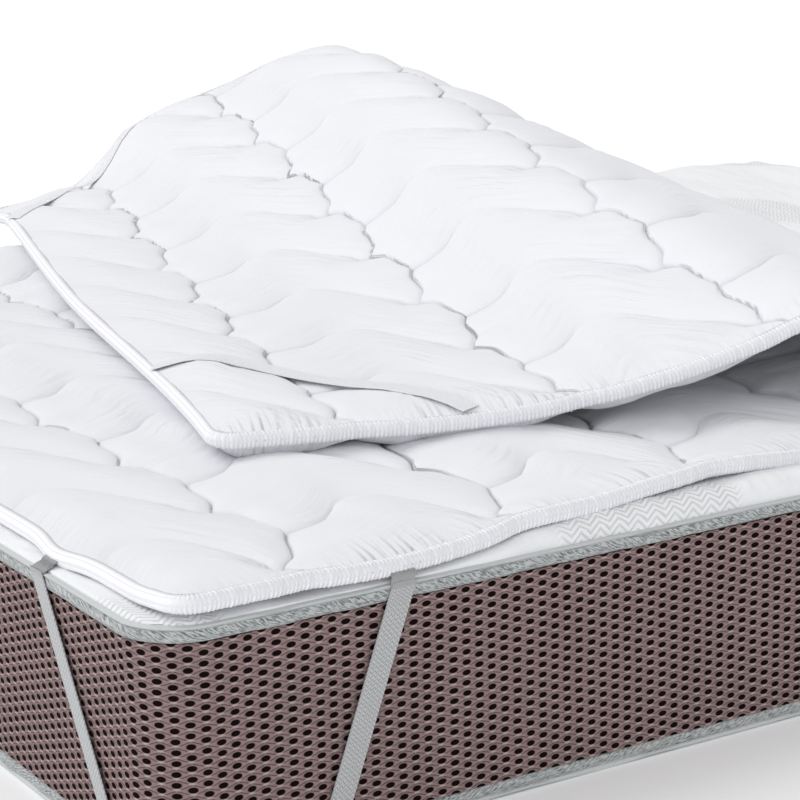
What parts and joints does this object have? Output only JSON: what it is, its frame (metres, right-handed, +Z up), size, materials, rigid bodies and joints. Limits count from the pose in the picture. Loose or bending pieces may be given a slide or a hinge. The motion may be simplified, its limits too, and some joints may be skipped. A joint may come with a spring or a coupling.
{
  "type": "mattress topper on mattress",
  "caption": "Quilted mattress topper on its mattress, held at the corners by elastic straps, with one half folded back over the other.",
  "frame": {"origin": "middle of the mattress's underside, on the surface that it lies on", "axes": "+Z up, +X along the mattress from the end where the topper lies flat, +Y across it from the front side"},
  "size_m": [2.0066, 1.899, 0.4961],
  "materials": {
    "quilt_cloth": "soft brushed microfibre, matte",
    "elastic": "herringbone elastic tape, matte",
    "ticking": "knitted ticking with a low relief, matte",
    "border_mesh": "open spacer mesh, matte",
    "melange_tape": "melange binding tape, matte"
  },
  "bodies": {
    "root": {"topper_pad": "quilt_cloth", "strap_holding_near": "elastic", "strap_holding_far": "elastic", "strap_flap_near": "elastic", "strap_flap_far": "elastic", "mattress_top_panel": "ticking", "mattress_bottom_panel": "ticking", "mattress_border": "border_mesh", "mattress_top_tape": "melange_tape", "mattress_bottom_tape": "melange_tape"}
  },
  "joints": []
}
